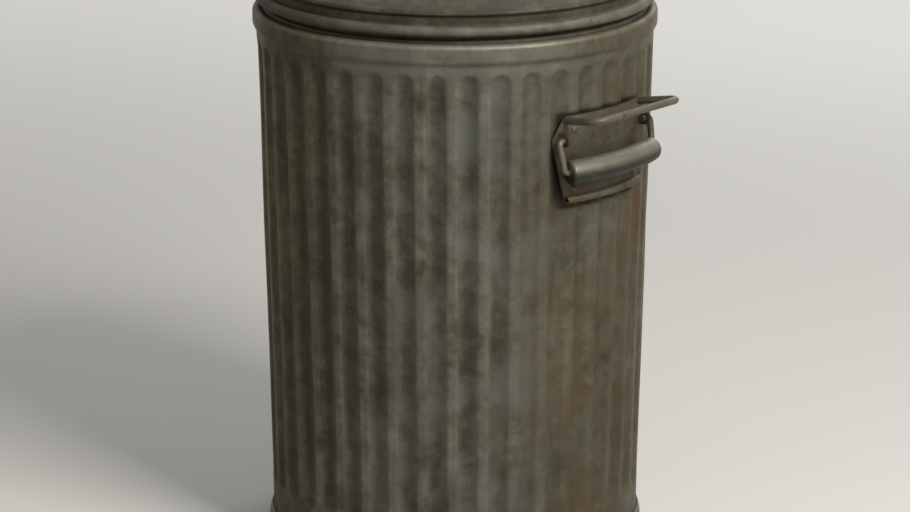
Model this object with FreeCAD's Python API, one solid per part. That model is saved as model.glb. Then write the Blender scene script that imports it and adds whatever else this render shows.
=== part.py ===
import FreeCAD, Part
import math
import os

# A fluted sheet-steel trash can with a plug-in lid and two drop handles.
# Millimetres. The origin is on the floor at the can's axis, +Z is up, the handles are on +X and -X.

Vec = FreeCAD.Vector
origin = Vec(0, 0, 0)
up = Vec(0, 0, 1)
quarter_turn = 90
half_turn = 180
full_turn = 360

# Can body
can_height = 606.0
mouth_radius = 220.0
base_radius = 207.5
sheet = 0.9
fit_gap = 0.1
seat_gap = 0.3
overrun = 5.0

# Flutes pressed into the wall
flute_count = 40
flute_depth = 4.2
flute_radius = 18.0
flute_foot = 60.0
flute_head_drop = 33.0
crest_round = 5.0
inner_share = 0.999

# Rim: a flared collar whose edge is curled in round a wire
rim_wire_diameter = 9.8
rim_collar = 27.0
rim_flare = 4.0
rim_flare_height = 11.0
rim_curl_turn = 290

# Base hoop and bottom
hoop_flare = 5.5
hoop_height = 25.0
hoop_sheet = 1.2
hoop_corner = 4.5
hoop_waist = 9.0
hoop_lip = 11.5
pan_height = 16.0
pan_rise = 5.0
pan_margin = 57.5
pan_slope = 15.0
pan_corner = 5.0

# Lid
lid_wire_diameter = 10.0
lid_inset = 2.6
lid_lift = 7.0
lid_shoulder_height = 33.0
lid_shoulder_round = 2.5
lid_groove_round = 2.0
lid_groove_turn = 50
lid_crown_height = 54.0
lid_crown_radius = 68.0
lid_curl_turn = 310
skirt_top = 24.0
skirt_bead_radius = 4.0
skirt_depth = 24.0
skirt_taper = 3.5
skirt_straight = 9.0

# Lid handle
strap_width = 30.0
strap_thickness = 2.5
strap_rise = 38.0
strap_top_half = 35.0
strap_leg_half = 43.0
strap_foot = 23.0
strap_bend = 7.0
strap_rivet_spacing = 15.0

# Side handles: wall plate, stop loop, bail and grip
handle_drop = 109.0
plate_sheet = 1.6
plate_gap = 0.15
plate_rise = 24.5
plate_top_half = 63.5
plate_elbow_half = 78.0
plate_below = 33.5
plate_bottom_half = 62.0
plate_round = 7.0
lip_radius = 4.2
lip_turn = 265
ear_place = 69.0
ear_thickness = 3.0
ear_round = 7.5
pivot_stand = 7.5
pivot_gap = 0.08
bail_rod = 7.0
bail_half = 77.5
bail_low_half = 74.5
bail_bend = 5.0
pivot_stub = 5.0
grip_diameter = 26.5
grip_half = 70.0
grip_drop = 33.5
grip_rest_gap = 0.6
grip_wall = 1.6
grip_end_round = 3.0
loop_rod = 8.0
loop_foot_half = 60.0
loop_foot_rise = 18.0
loop_foot_sink = 18.623
loop_bar_half = 71.5
loop_bar_reach = 42.5
loop_bar_rise = 28.0
loop_bend = 12.0

# Rivets
rivet_shank = 4.0
rivet_head = 9.0
rivet_head_height = 2.4
rivet_tail = 5.6
rivet_tail_height = 1.6
washer_diameter = 7.2
washer_thickness = 1.0
rivet_upper_rise = 9.0
rivet_lower_rise = 11.0
rivet_crest_shares = (-1.5, 1.5)

# Worked out from the sizes above
flute_pitch = full_turn / flute_count
flute_head = can_height - flute_head_drop
taper = math.degrees(math.atan((mouth_radius - base_radius) / can_height))
collar_foot = can_height - rim_collar
rim_curl_radius = rim_wire_diameter / 2 + fit_gap + sheet
rim_ring_height = can_height - rim_curl_radius
hoop_radius = base_radius + hoop_flare
pan_rise_radius = base_radius - pan_margin
lid_curl_radius = lid_wire_diameter / 2 + fit_gap + sheet
lid_ring_height = can_height + lid_lift + lid_curl_radius
crown_top = can_height + lid_crown_height + sheet
strap_rivet_place = strap_leg_half + strap_foot / 2
handle_height = can_height - handle_drop
plate_top = handle_height + plate_rise
grip_height = handle_height - grip_drop
plate_bottom = grip_height - plate_below
loop_foot_height = handle_height + loop_foot_rise
loop_bar_height = handle_height + loop_bar_rise
rivet_upper = handle_height + rivet_upper_rise
rivet_lower = plate_bottom + rivet_lower_rise
right_angle = flute_pitch / 2
left_angle = half_turn - flute_pitch / 2


def wall_radius(height):
    # Outside radius of the tapered wall, measured on the crests between the flutes
    return base_radius + (mouth_radius - base_radius) * height / can_height


collar_radius = wall_radius(collar_foot)
rim_ring_radius = collar_radius + rim_flare - rim_curl_radius
lid_ring_radius = rim_ring_radius - lid_inset
lid_wall_radius = lid_ring_radius - lid_curl_radius
pivot_reach = math.sqrt(wall_radius(handle_height) ** 2 - ear_place ** 2) + pivot_stand


def frustum(offset, low, high):
    # Solid cone that follows the wall at a distance
    return Part.makeCone(wall_radius(low) + offset, wall_radius(high) + offset, high - low, Vec(0, 0, low))


def turned(shape, angle):
    copy = shape.copy()
    copy.rotate(origin, up, angle)
    return copy


def arc_about(centre, radius, start, sweep):
    # Arc in the XZ plane, angles in degrees from +X towards +Z
    points = []
    for share in (0, 0.5, 1):
        angle = math.radians(start + sweep * share)
        points.append(centre + Vec(radius * math.cos(angle), 0, radius * math.sin(angle)))
    return Part.Arc(*points).toShape()


def rounded_path(points, radius):
    # Straight runs joined by tangent arcs
    edges = []
    start = points[0]
    for before, corner, after in zip(points, points[1:], points[2:]):
        back = (before - corner).normalize()
        ahead = (after - corner).normalize()
        half_angle = back.getAngle(ahead) / 2
        reach = radius / math.tan(half_angle)
        middle = corner + (back + ahead).normalize() * (radius / math.sin(half_angle) - radius)
        edges.append(Part.makeLine(start, corner + back * reach))
        edges.append(Part.Arc(corner + back * reach, middle, corner + ahead * reach).toShape())
        start = corner + ahead * reach
    edges.append(Part.makeLine(start, points[-1]))
    return edges


def sheet_section(edges, thickness):
    # Face between a path in the XZ plane and its parallel, which is on the path's left if positive
    return Part.Wire(edges).makeOffset2D(thickness, join=0, fill=True, openResult=True)


def ring(section):
    return section.revolve(origin, up, full_turn)


def rod_along(edges, radius, start, direction):
    circle = Part.Wire(Part.makeCircle(radius, start, direction))
    return Part.Wire(edges).makePipeShell([circle], True, False)


def save(name, solids):
    whole = [part for solid in solids for part in solid.Solids]
    shape = whole[0] if len(whole) == 1 else Part.makeCompound(whole)
    print(name, len(whole), "solid", round(shape.Volume), shape.isValid())
    shape.exportStep("parts/" + name + ".step")


def flute_tool(thickness):
    # Round-ended bar lying along the wall's slope and sunk into it by the flute's depth
    radius = flute_radius + thickness
    end_reach = math.sqrt(flute_radius ** 2 - (flute_radius - flute_depth) ** 2)
    low = flute_foot + end_reach
    high = flute_head - end_reach
    foot = Vec(wall_radius(low) + flute_radius - flute_depth, 0, low)
    head = Vec(wall_radius(high) + flute_radius - flute_depth, 0, high)
    along = (head - foot).normalize()
    across = Vec(-along.z, 0, along.x)
    low_tip = foot - along * radius
    high_tip = head + along * radius
    low_side = foot + across * radius
    high_side = head + across * radius
    low_bend = foot + (across - along).normalize() * radius
    high_bend = head + (across + along).normalize() * radius
    outline = [
        Part.Arc(low_tip, low_bend, low_side),
        Part.LineSegment(low_side, high_side),
        Part.Arc(high_side, high_bend, high_tip),
        Part.LineSegment(high_tip, low_tip),
    ]
    return Part.Face(Part.Wire([line.toShape() for line in outline])).revolve(foot, along, full_turn)


def fluted_wedge(thickness, low, high):
    # One pitch of the wall's skin as a solid wedge, its flute in the middle and the flute's edge rounded
    low_radius = wall_radius(low) - thickness
    high_radius = wall_radius(high) - thickness
    wedge = Part.makeCone(low_radius, high_radius, high - low, Vec(0, 0, low), up, flute_pitch)
    wedge = turned(wedge, -flute_pitch / 2).cut(flute_tool(thickness))
    skin = [face for face in wedge.Faces if face.Surface.TypeId == "Part::GeomCone"]
    edges = [edge for face in skin for edge in face.Edges if edge.Curve.TypeId == "Part::GeomBSplineCurve"]
    return wedge.makeFillet(crest_round - thickness, edges)


def fluted_wall(low, high):
    # The wedge's outer and inner skins are patterned round the axis and sewn into one sheet
    outside = fluted_wedge(0, low, high)
    inside = fluted_wedge(sheet, low - overrun, high + overrun)
    piece = outside.cut(inside)
    cut_side = math.radians(flute_pitch / 2)
    faces = []
    for face in piece.Faces:
        middle = face.CenterOfMass
        if abs(math.atan2(middle.y, middle.x)) < cut_side * inner_share:
            faces.append(face)
    pattern = []
    for index in range(flute_count):
        pattern.extend(turned(face, flute_pitch * index + flute_pitch / 2) for face in faces)
    skin = Part.makeCompound(pattern)
    skin.sewShape()
    return Part.Solid(skin.Shells[0])


def rivet_spot(shape, height, angle):
    # Put a shape made along +X on the wall: origin on the wall's face, tilted with its taper
    spot = shape.copy()
    spot.rotate(origin, Vec(0, 1, 0), taper)
    spot.translate(Vec(wall_radius(height), 0, height))
    return turned(spot, angle)


def on_each_crest(shape):
    spots = []
    for height in (rivet_lower, rivet_upper):
        spots.extend(rivet_spot(shape, height, flute_pitch * share) for share in rivet_crest_shares)
    return spots


def rivet_hole():
    length = (plate_sheet + sheet + overrun) * 2
    return Part.makeCylinder(rivet_shank / 2 + fit_gap, length, Vec(-length / 2, 0, 0), Vec(1, 0, 0))


def rim_section():
    # S-bend out of the wall, upright collar, and the curl round the wire
    half_bend = math.atan(rim_flare / rim_flare_height)
    bend = math.degrees(half_bend * 2)
    bend_radius = rim_flare_height / (2 * math.sin(half_bend * 2))
    foot = Vec(collar_radius, 0, collar_foot)
    face = foot + Vec(rim_flare, 0, rim_flare_height)
    curl_centre = Vec(rim_ring_radius, 0, rim_ring_height)
    path = [
        arc_about(foot + Vec(bend_radius, 0, 0), bend_radius, half_turn, -bend),
        arc_about(face - Vec(bend_radius, 0, 0), bend_radius, -bend, bend),
        Part.makeLine(face, curl_centre + Vec(rim_curl_radius, 0, 0)),
        arc_about(curl_centre, rim_curl_radius, 0, rim_curl_turn),
    ]
    return sheet_section(path, sheet)


def body_shell():
    wall = fluted_wall(hoop_sheet, collar_foot).fuse(ring(rim_section()))
    holes = []
    for angle in (right_angle, left_angle):
        holes.extend(turned(hole, angle) for hole in on_each_crest(rivet_hole()))
    return wall.cut(tuple(holes))


def rim_wire():
    return Part.makeTorus(rim_ring_radius, rim_wire_diameter / 2, Vec(0, 0, rim_ring_height), up)


def base_hoop():
    # Band with a flared waist and a lip turned in under the wall
    wall_face = wall_radius(hoop_height) + fit_gap + hoop_sheet
    rise = hoop_height - hoop_waist
    inset = hoop_radius - wall_face
    sweep_radius = (inset ** 2 + rise ** 2) / (2 * inset)
    corner = Vec(hoop_radius - hoop_corner, 0, hoop_corner)
    waist = Vec(hoop_radius, 0, hoop_waist)
    flare = math.degrees(math.asin(rise / sweep_radius))
    lip_end = Vec(wall_radius(0) + hoop_corner - hoop_lip, 0, 0)
    path = [
        Part.makeLine(lip_end, Vec(corner.x, 0, 0)),
        arc_about(corner, hoop_corner, -quarter_turn, quarter_turn),
        Part.makeLine(Vec(hoop_radius, 0, hoop_corner), waist),
        arc_about(waist - Vec(sweep_radius, 0, 0), sweep_radius, 0, flare),
    ]
    return ring(sheet_section(path, hoop_sheet))


def bottom_pan():
    flange_radius = wall_radius(hoop_sheet) - sheet - fit_gap
    points = [
        Vec(0, 0, pan_height + pan_rise),
        Vec(pan_rise_radius, 0, pan_height + pan_rise),
        Vec(pan_rise_radius + pan_slope, 0, pan_height),
        Vec(flange_radius, 0, pan_height),
        Vec(flange_radius, 0, hoop_sheet),
    ]
    return ring(sheet_section(rounded_path(points, pan_corner), -sheet))


def strap_spots(radius, low, length):
    # Upright cylinders where the lid handle's rivets go
    spots = []
    for x in (-strap_rivet_spacing / 2, strap_rivet_spacing / 2):
        for y in (-strap_rivet_place, strap_rivet_place):
            spots.append(Part.makeCylinder(radius, length, Vec(x, y, low)))
    return spots


def lid_cover():
    # The path is the lid's under side, which becomes the outside of the curl round the wire
    crown = Vec(lid_crown_radius, 0, can_height + lid_crown_height)
    tuck = math.radians(lid_groove_turn)
    bend_height = can_height + lid_shoulder_height - lid_shoulder_round
    bend_place = lid_wall_radius + lid_groove_round - (lid_shoulder_round + lid_groove_round) * math.cos(tuck)
    bend = Vec(bend_place, 0, bend_height)
    groove_height = bend_height - (lid_shoulder_round + lid_groove_round) * math.sin(tuck)
    groove = Vec(lid_wall_radius + lid_groove_round, 0, groove_height)
    run = bend.x - crown.x
    fall = crown.z - bend.z
    dome_radius = (run ** 2 + fall ** 2 - lid_shoulder_round ** 2) / (2 * (fall - lid_shoulder_round))
    slope = math.degrees(math.asin(run / (dome_radius - lid_shoulder_round)))
    curl_centre = Vec(lid_ring_radius, 0, lid_ring_height)
    path = [
        Part.makeLine(Vec(0, 0, crown.z), crown),
        arc_about(crown - Vec(0, 0, dome_radius), dome_radius, quarter_turn, -slope),
        arc_about(bend, lid_shoulder_round, quarter_turn - slope, slope - quarter_turn - lid_groove_turn),
        arc_about(groove, lid_groove_round, half_turn - lid_groove_turn, lid_groove_turn),
        Part.makeLine(groove - Vec(lid_groove_round, 0, 0), curl_centre - Vec(lid_curl_radius, 0, 0)),
        arc_about(curl_centre, lid_curl_radius, half_turn, lid_curl_turn),
    ]
    cover = ring(sheet_section(path, sheet))
    return cover.cut(tuple(strap_spots(rivet_shank / 2 + fit_gap, crown_top - overrun, overrun * 2)))


def lid_rim_wire():
    return Part.makeTorus(lid_ring_radius, lid_wire_diameter / 2, Vec(0, 0, lid_ring_height), up)


def lid_skirt():
    # Plug ring inside the cover's wall; its swaged bead sits on the can's rim
    radius = lid_wall_radius - fit_gap
    span = rim_curl_radius + skirt_bead_radius + seat_gap
    bead_height = rim_ring_height + math.sqrt(span ** 2 - (rim_ring_radius - radius) ** 2)
    bead = Vec(radius, 0, bead_height)
    bead_reach = Vec(0, 0, skirt_bead_radius)
    straight_end = Vec(radius, 0, can_height - skirt_straight)
    path = [
        Part.makeLine(Vec(radius, 0, can_height + skirt_top), bead + bead_reach),
        arc_about(bead, skirt_bead_radius, quarter_turn, -half_turn),
        Part.makeLine(bead - bead_reach, straight_end),
        Part.makeLine(straight_end, Vec(radius - skirt_taper, 0, can_height - skirt_depth)),
    ]
    return ring(sheet_section(path, -sheet))


def lid_handle():
    # Bent strap with two riveted feet
    low = crown_top + fit_gap
    points = [
        Vec(-strap_leg_half - strap_foot, 0, low),
        Vec(-strap_leg_half, 0, low),
        Vec(-strap_top_half, 0, low + strap_rise),
        Vec(strap_top_half, 0, low + strap_rise),
        Vec(strap_leg_half, 0, low),
        Vec(strap_leg_half + strap_foot, 0, low),
    ]
    section = sheet_section(rounded_path(points, strap_bend), strap_thickness)
    section.translate(Vec(0, -strap_width / 2, 0))
    strap = turned(section.extrude(Vec(0, strap_width, 0)), quarter_turn)
    return strap.cut(tuple(strap_spots(rivet_shank / 2 + fit_gap, low - overrun, overrun * 2)))


def rivet(grip_length):
    # Made along +X: the grip ends at the origin, with the domed head outside and the tail inside
    head_radius = rivet_head / 2
    ball_radius = (head_radius ** 2 + rivet_head_height ** 2) / (2 * rivet_head_height)
    shank_start = -grip_length - washer_thickness - rivet_tail_height
    x_axis = Vec(1, 0, 0)
    head = Part.makeSphere(ball_radius, Vec(rivet_head_height - ball_radius, 0, 0))
    outer_half = Part.makeCylinder(head_radius + overrun, rivet_head_height + overrun, origin, x_axis)
    head = head.common(outer_half)
    shank = Part.makeCylinder(rivet_shank / 2, -shank_start, Vec(shank_start, 0, 0), x_axis)
    tail = Part.makeCone(rivet_shank / 2, rivet_tail / 2, rivet_tail_height, Vec(shank_start, 0, 0), x_axis)
    return head.fuse((shank, tail)).removeSplitter()


def washer():
    # Made along +X below the origin, with a hole for the rivet
    start = Vec(-washer_thickness, 0, 0)
    disc = Part.makeCylinder(washer_diameter / 2, washer_thickness, start, Vec(1, 0, 0))
    return disc.cut(rivet_hole())


def plate_rivets():
    head_seat = plate_gap + plate_sheet + fit_gap
    one = rivet(head_seat + sheet + fit_gap * 2)
    one.translate(Vec(head_seat, 0, 0))
    return on_each_crest(one)


def plate_washers():
    one = washer()
    one.translate(Vec(-sheet - fit_gap, 0, 0))
    return on_each_crest(one)


def stand_up(shape, height):
    # Put a shape made along +X upright at each of the lid handle's rivet places
    one = shape.copy()
    one.rotate(origin, Vec(0, 1, 0), -quarter_turn)
    spots = []
    for place in strap_spots(rivet_shank / 2, height, overrun):
        spot = one.copy()
        spot.translate(Vec(place.CenterOfMass.x, place.CenterOfMass.y, height))
        spots.append(spot)
    return spots


def lid_handle_rivets():
    stack = sheet + fit_gap + strap_thickness
    return stand_up(rivet(stack + fit_gap * 2), crown_top + fit_gap * 2 + strap_thickness)


def lid_handle_washers():
    return stand_up(washer(), crown_top - sheet - fit_gap)


def plate_outline():
    # Shield-shaped outline, seen along X and extruded through the wall plate
    points = []
    for side in (-1, 1):
        half = [
            Vec(0, side * plate_bottom_half, plate_bottom - lip_radius - overrun),
            Vec(0, side * plate_bottom_half, plate_bottom),
            Vec(0, side * plate_elbow_half, handle_height),
            Vec(0, side * plate_top_half, plate_top),
        ]
        points.extend(half if side < 0 else reversed(half))
    face = Part.Face(Part.Wire(rounded_path(points, plate_round) + [Part.makeLine(points[-1], points[0])]))
    return face.extrude(Vec(max(base_radius, mouth_radius) + lip_radius * 2 + overrun, 0, 0))


def pivot_ears():
    # Lugs turned out of the plate for the bail's pivots
    depth = pivot_stand + overrun
    ears = []
    for side in (-1, 1):
        start = Vec(pivot_reach, side * ear_place - ear_thickness / 2, handle_height)
        eye = Part.makeCylinder(ear_round, ear_thickness, start, Vec(0, 1, 0))
        web = Part.makeBox(depth, ear_thickness, ear_round * 2, start - Vec(depth, 0, ear_round))
        pin_start = start - Vec(0, overrun, 0)
        pin_length = ear_thickness + overrun * 2
        pin_hole = Part.makeCylinder(bail_rod / 2 + pivot_gap, pin_length, pin_start, Vec(0, 1, 0))
        ears.append(eye.fuse(web).cut(pin_hole))
    return ears


def handle_plate():
    top = Vec(wall_radius(plate_top) + plate_gap, 0, plate_top)
    bottom = Vec(wall_radius(plate_bottom) + plate_gap, 0, plate_bottom)
    lip_centre = bottom + Vec(lip_radius, 0, 0)
    path = [Part.makeLine(top, bottom), arc_about(lip_centre, lip_radius, half_turn, lip_turn)]
    spread = math.degrees(math.asin(plate_elbow_half / min(base_radius, mouth_radius)))
    band = sheet_section(path, plate_sheet).revolve(origin, up, spread * 2)
    plate = turned(band, -spread).common(plate_outline())
    core = frustum(plate_gap + plate_sheet / 2, plate_bottom, plate_top)
    plate = plate.fuse(tuple(ear.cut(core) for ear in pivot_ears())).removeSplitter()
    return plate.cut(tuple(on_each_crest(rivet_hole())))


def stop_loop():
    # Fixed rod loop whose feet are welded to the plate
    bar_x = wall_radius(loop_bar_height) + loop_bar_reach
    foot_x = wall_radius(loop_foot_height) - loop_foot_sink
    points = [
        Vec(foot_x, -loop_foot_half, loop_foot_height),
        Vec(bar_x, -loop_bar_half, loop_bar_height),
        Vec(bar_x, loop_bar_half, loop_bar_height),
        Vec(foot_x, loop_foot_half, loop_foot_height),
    ]
    loop = rod_along(rounded_path(points, loop_bend), loop_rod / 2, points[0], points[1] - points[0])
    return loop.cut(frustum(plate_gap + plate_sheet + fit_gap, plate_bottom, plate_top + overrun))


def grip_axis_radius():
    return wall_radius(grip_height) + plate_gap + plate_sheet + grip_rest_gap + grip_diameter / 2


def bail():
    # Pivot stubs, arms and a cross bar curved with the wall
    axis = grip_axis_radius()
    bend = math.asin(grip_half / axis)
    corner_run = (bail_low_half - grip_half) / math.cos(bend)
    arms = []
    for side in (-1, 1):
        end = Vec(axis * math.cos(bend), side * axis * math.sin(bend), grip_height)
        corner = end + Vec(-math.sin(bend), side * math.cos(bend), 0) * corner_run
        points = [
            Vec(pivot_reach, side * (ear_place - ear_thickness / 2 - pivot_stub), handle_height),
            Vec(pivot_reach, side * bail_half, handle_height),
            corner,
            end,
        ]
        arms.append(rounded_path(points if side < 0 else points[::-1], bail_bend))
    first = arms[0][-1].Vertexes[-1].Point
    last = arms[1][0].Vertexes[0].Point
    cross_bar = Part.Arc(first, Vec(axis, 0, grip_height), last).toShape()
    start = Vec(pivot_reach, -(ear_place - ear_thickness / 2 - pivot_stub), handle_height)
    return rod_along(arms[0] + [cross_bar] + arms[1], bail_rod / 2, start, Vec(0, 1, 0))


def grip():
    # Hollow rolled grip, bent with the wall, with turned-in ends round the rod
    axis = grip_axis_radius()
    centre = Vec(axis, 0, grip_height)
    spread = math.degrees(math.asin(grip_half / axis))
    end_wall = math.degrees(math.asin(grip_wall / axis))

    def bent_bar(radius, half_angle):
        face = Part.Face(Part.Wire(Part.makeCircle(radius, centre, Vec(0, 1, 0))))
        return turned(face, -half_angle).revolve(origin, up, half_angle * 2)

    bar = bent_bar(grip_diameter / 2, spread)
    ends = [edge for edge in bar.Edges if abs(edge.Length - math.pi * grip_diameter) < fit_gap]
    bar = bar.makeFillet(grip_end_round, ends)
    hollow = bent_bar(grip_diameter / 2 - grip_wall, spread - end_wall)
    return bar.cut((hollow, bent_bar(bail_rod / 2 + pivot_gap, spread * 2)))


def build():
    os.makedirs("parts", exist_ok=True)
    save("body_shell", [body_shell()])
    save("rim_wire", [rim_wire()])
    save("base_hoop", [base_hoop()])
    save("bottom_pan", [bottom_pan()])
    save("lid_cover", [lid_cover()])
    save("lid_rim_wire", [lid_rim_wire()])
    save("lid_skirt", [lid_skirt()])
    save("lid_handle", [lid_handle()])
    save("lid_handle_rivets", lid_handle_rivets())
    save("lid_handle_washers", lid_handle_washers())
    side_pieces = {
        "handle_plate": [handle_plate()],
        "stop_loop": [stop_loop()],
        "plate_rivets": plate_rivets(),
        "plate_washers": plate_washers(),
        "bail": [bail()],
        "grip": [grip()],
    }
    for name, solids in side_pieces.items():
        save("right_" + name, [turned(solid, right_angle) for solid in solids])
        save("left_" + name, [turned(solid, left_angle) for solid in solids])


build()
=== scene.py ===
import bpy, bmesh, math
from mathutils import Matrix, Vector


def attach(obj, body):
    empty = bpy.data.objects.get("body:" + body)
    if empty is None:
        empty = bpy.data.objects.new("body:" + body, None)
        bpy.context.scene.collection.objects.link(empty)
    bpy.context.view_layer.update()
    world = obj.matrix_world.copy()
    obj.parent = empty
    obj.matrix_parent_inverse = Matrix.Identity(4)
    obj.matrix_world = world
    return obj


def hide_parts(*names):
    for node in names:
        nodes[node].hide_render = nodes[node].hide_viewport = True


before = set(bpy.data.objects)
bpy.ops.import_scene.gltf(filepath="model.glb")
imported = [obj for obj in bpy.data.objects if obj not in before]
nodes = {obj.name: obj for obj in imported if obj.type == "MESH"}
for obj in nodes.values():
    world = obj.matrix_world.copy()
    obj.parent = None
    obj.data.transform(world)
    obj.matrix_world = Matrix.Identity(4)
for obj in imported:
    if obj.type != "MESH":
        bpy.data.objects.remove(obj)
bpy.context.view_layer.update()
mm = 0.001
print("frame loaded:", len(nodes), "nodes")


# small helpers for node trees, shared by materials and geometry
def put(tree, kind, **settings):
    made = tree.nodes.new(kind)
    for key, value in settings.items():
        setattr(made, key, value)
    return made


def plug(tree, socket, value):
    if isinstance(value, bpy.types.NodeSocket):
        tree.links.new(value, socket)
    elif value is not None:
        socket.default_value = value


def calc(tree, operation, *values, clamp=False):
    made = put(tree, "ShaderNodeMath", operation=operation, use_clamp=clamp)
    for socket, value in zip(made.inputs, values):
        plug(tree, socket, value)
    return made.outputs[0]


def product(tree, first, *others):
    for other in others:
        first = calc(tree, "MULTIPLY", first, other)
    return first


def spread(tree, value, low, high, toLow=0.0, toHigh=1.0, smooth=True):
    made = put(tree, "ShaderNodeMapRange", interpolation_type="SMOOTHSTEP" if smooth else "LINEAR")
    for socket, item in zip(made.inputs, (value, low, high, toLow, toHigh)):
        plug(tree, socket, item)
    return made.outputs[0]


def splitXyz(tree, vector):
    made = put(tree, "ShaderNodeSeparateXYZ")
    tree.links.new(vector, made.inputs[0])
    return made.outputs


def joinXyz(tree, x, y, z):
    made = put(tree, "ShaderNodeCombineXYZ")
    for socket, value in zip(made.inputs, (x, y, z)):
        plug(tree, socket, value)
    return made.outputs[0]


def noise(tree, vector, scale, detail=3.0, rough=0.55, seed=0.0):
    made = put(tree, "ShaderNodeTexNoise", noise_dimensions="4D")
    plug(tree, made.inputs["Vector"], vector)
    made.inputs["W"].default_value = seed
    made.inputs["Scale"].default_value = scale
    made.inputs["Detail"].default_value = detail
    made.inputs["Roughness"].default_value = rough
    return made.outputs[0]


# camera: solved from the rim's ellipse, the taper and the handle's place in the photo
cameraSet = {"azimuth": 45.8, "distance": 3.52, "height": 1.337, "pitch": 16.2, "focalPixels": 3248.0,
             "imageWidth": 910, "sensor": 36.0}


def addCamera(s):
    turn = math.radians(s["azimuth"])
    data = bpy.data.cameras.new("photoCamera")
    data.sensor_width = s["sensor"]
    data.lens = s["focalPixels"] / s["imageWidth"] * s["sensor"]
    data.clip_end = 60
    cam = bpy.data.objects.new("photoCamera", data)
    cam.location = (s["distance"] * math.sin(turn), -s["distance"] * math.cos(turn), s["height"])
    cam.rotation_euler = (math.radians(90 - s["pitch"]), 0, turn)
    bpy.context.scene.collection.objects.link(cam)
    bpy.context.scene.camera = cam
    return turn


cameraTurn = addCamera(cameraSet)
photoRight = (math.cos(cameraTurn), math.sin(cameraTurn), 0)  # the picture's right, on the ground
photoFront = (math.sin(cameraTurn), -math.cos(cameraTurn), 0)  # towards the camera
print("camera placed")


# zinc finishes: one tone value from several scales of mottling, then stains and worn places; some of the shifts and
# overlays are painted shade, highlight and sheen
def zincFinish(name, look):
    mat = bpy.data.materials.new(name)
    mat.use_nodes = True
    tree = mat.node_tree
    shader = tree.nodes["Principled BSDF"]
    coords = put(tree, "ShaderNodeTexCoord").outputs["Object"]
    x, y, z = splitXyz(tree, coords)
    seed = look.get("seed", 0.0)

    stretch = put(tree, "ShaderNodeMapping")
    tree.links.new(coords, stretch.inputs["Vector"])
    stretch.inputs["Scale"].default_value = look.get("runs", (1, 1, 0.07))
    broad = noise(tree, coords, 5.5, 3, 0.55, seed)
    patch = noise(tree, coords, 26, 5, 0.6, seed + 1)
    runs = noise(tree, stretch.outputs[0], 62, 4, 0.6, seed + 2)
    fine = noise(tree, coords, 380, 3, 0.6, seed + 3)
    spangle = put(tree, "ShaderNodeTexVoronoi", feature="F1")
    tree.links.new(coords, spangle.inputs["Vector"])
    spangle.inputs["Scale"].default_value = 95  # zinc crystals about a centimetre across
    cell = splitXyz(tree, spangle.outputs["Color"])[0]

    # tone: 0 is grimy, 1 is pale zinc
    tone = look.get("tone", 0.5)
    for field, amount in ((broad, "broad"), (patch, "patch"), (runs, "streak"), (cell, "cell"), (fine, "fine")):
        weight = look.get(amount, 0)
        if weight:
            tone = calc(tree, "ADD", calc(tree, "MULTIPLY", calc(tree, "SUBTRACT", field, 0.5), weight), tone)
    for shift in look.get("shifts", ()):
        tone = calc(tree, "ADD", tone, shift(tree, x, y, z, coords))
    ramp = put(tree, "ShaderNodeValToRGB")
    stops = ramp.color_ramp.elements
    while len(stops) < len(look["tones"]):
        stops.new(0.5)
    for stop, (place, colour) in zip(stops, look["tones"]):
        stop.position = place
        stop.color = (*colour, 1)
    tree.links.new(tone, ramp.inputs[0])
    colour = ramp.outputs[0]

    for overlay in look.get("stainsAndPaintedLight", ()):
        mask = overlay["mask"](tree, x, y, z, coords)
        mix = put(tree, "ShaderNodeMix", data_type="RGBA", blend_type=overlay.get("mode", "MIX"))
        plug(tree, mix.inputs[0], mask)
        tree.links.new(colour, mix.inputs[6])
        mix.inputs[7].default_value = (*overlay["colour"], 1)
        colour = mix.outputs[2]
    tree.links.new(colour, shader.inputs["Base Color"])

    low, high = look.get("rough", (0.42, 0.66))
    grain = calc(tree, "ADD", calc(tree, "MULTIPLY", patch, 0.6), calc(tree, "MULTIPLY", fine, 0.4))
    tree.links.new(spread(tree, grain, 0.3, 0.7, high, low, False), shader.inputs["Roughness"])
    shader.inputs["Metallic"].default_value = look.get("metal", 0.55)
    shader.inputs["Specular IOR Level"].default_value = look.get("gloss", 0.5)

    height = calc(tree, "ADD", calc(tree, "MULTIPLY", fine, 0.35), calc(tree, "MULTIPLY", patch, 0.65))
    bump = put(tree, "ShaderNodeBump")
    bump.inputs["Strength"].default_value = look.get("bump", 0.25)
    bump.inputs["Distance"].default_value = look.get("bumpDepth", 0.0012)
    tree.links.new(height, bump.inputs["Height"])
    tree.links.new(bump.outputs[0], shader.inputs["Normal"])
    return mat


# masks and shifts that the finishes use
def attributeValue(tree, name):
    return put(tree, "ShaderNodeAttribute", attribute_name=name).outputs["Fac"]


def across(tree, vector, direction):
    made = put(tree, "ShaderNodeVectorMath", operation="DOT_PRODUCT")
    tree.links.new(vector, made.inputs[0])
    plug(tree, made.inputs[1], direction)
    return made.outputs["Value"]


def noiseSpots(low, high, scale, seed, side=None, amount=1.0):
    def mask(tree, x, y, z, coords):
        value = spread(tree, noise(tree, coords, scale, 5, 0.62, seed), low, high, 0, amount)
        if side:
            direction, start, full = side
            value = product(tree, value, spread(tree, across(tree, coords, direction), start, full))
        return value
    return mask


def heightBand(low, high, softness, amount):
    def mask(tree, x, y, z, coords):
        rising = spread(tree, z, low - softness, low)
        falling = spread(tree, z, high, high + softness, 1, 0)
        return product(tree, rising, falling, amount)
    return mask


# the wall plate's outline from its middle line: half width and height
plateShape = {"corners": ((0, 0.5215), (0.0635, 0.5215), (0.078, 0.497), (0.062, 0.430), (0.062, 0.422)),
              "offset": 4.5, "width": 0.0068, "amount": 0.92, "level": 1.5, "upright": 0.75, "round": 0.008,
              "full": 0.3, "reach": 0.9, "handleSide": (0.12, 0.16)}


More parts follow.
